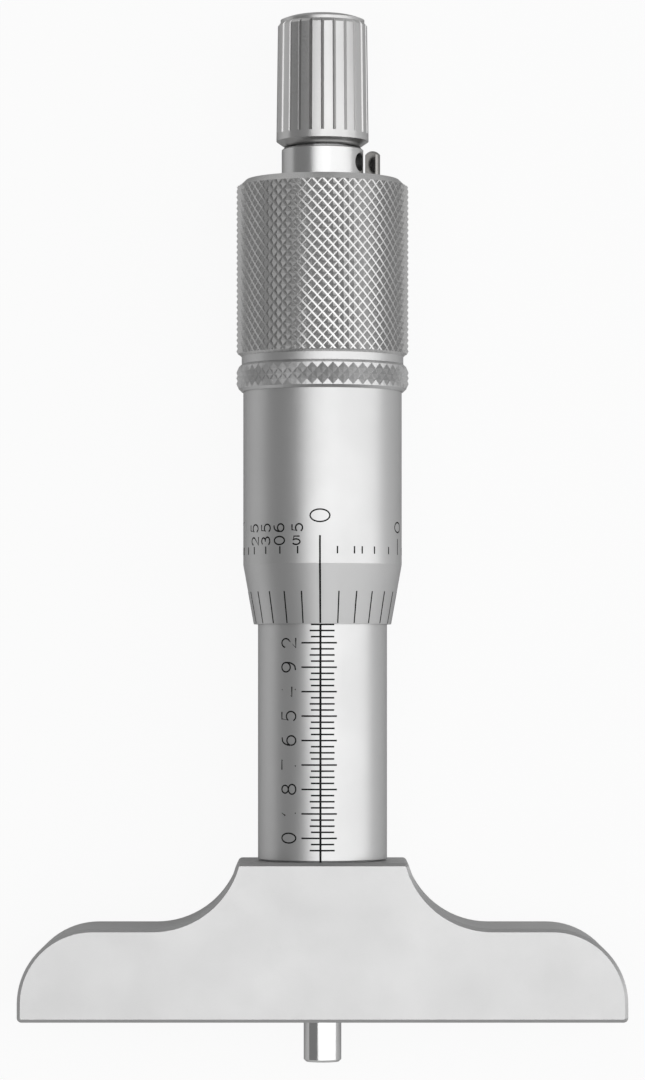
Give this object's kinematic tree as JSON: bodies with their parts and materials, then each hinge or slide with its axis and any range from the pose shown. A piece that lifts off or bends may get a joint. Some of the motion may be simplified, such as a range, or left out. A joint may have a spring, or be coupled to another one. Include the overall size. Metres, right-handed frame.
{
  "type": "depth micrometer",
  "caption": "Depth micrometer: a rod feeds out through a T-shaped steel base as the thimble turns over a graduated sleeve, driven by a ratchet knob.",
  "frame": {"origin": "on the measuring axis, in the plane of the base's measuring face", "axes": "+Y along the measuring axis from the measuring face to the ratchet knob, +X along the base, +Z out of the side that carries the scale; the part lies on its back"},
  "size_m": [0.0636, 0.1102, 0.0182],
  "materials": {
    "ground_steel": "fine ground, satin",
    "satin_chrome": "satin plated",
    "knurled_steel": "knurled, satin",
    "knob_steel": "fluted, satin",
    "turned_steel": "fine turned",
    "polished_steel": "lapped and polished",
    "pin_steel": "tempered, polished",
    "plain_steel": "machined",
    "spring_steel": "blued",
    "scale_black": "black filled scale marks and numbers"
  },
  "bodies": {
    "base": {"base": "ground_steel", "rod_bush": "plain_steel", "barrel": "plain_steel", "adjusting_nut": "plain_steel", "sleeve": "satin_chrome"},
    "rod": {"measuring_rod": "polished_steel", "rod_adjusting_nut": "plain_steel", "rod_lock_nut": "plain_steel"},
    "thimble": {"spindle": "plain_steel", "thimble": "satin_chrome", "thimble_nut": "plain_steel", "cap": "knurled_steel", "spring_washer": "spring_steel", "stop_pin": "pin_steel", "ratchet_body": "turned_steel", "ratchet_screw": "turned_steel", "ratchet_washer": "plain_steel"},
    "ratchet_knob": {"knob": "knob_steel", "ratchet_spring": "spring_steel"},
    "ratchet_plate": {"ratchet_plate": "plain_steel"}
  },
  "joints": [
    {"name": "rod_feed", "type": "slide", "parent": "base", "child": "rod", "axis": [0, -1, 0], "range_m": [-0.00317, 0.02223]},
    {"name": "thimble_turn", "type": "hinge", "parent": "rod", "child": "thimble", "pos_m": [0, 0, 0], "axis": [0, -1, 0], "range_deg": [-1800, 12600]},
    {"name": "ratchet_turn", "type": "hinge", "parent": "thimble", "child": "ratchet_knob", "pos_m": [0, 0, 0], "axis": [0, -1, 0], "continuous": true},
    {"name": "plate_lift", "type": "slide", "parent": "ratchet_knob", "child": "ratchet_plate", "axis": [0, 1, 0], "range_m": [0, 0.0005], "stiffness_N_per_m": 100, "springref_m": -0.006, "deforming": ["ratchet_spring"]}
  ],
  "couplings": [
    {"joint": "thimble_turn", "follows": "rod_feed", "rad_per_m": 9894.8}
  ]
}
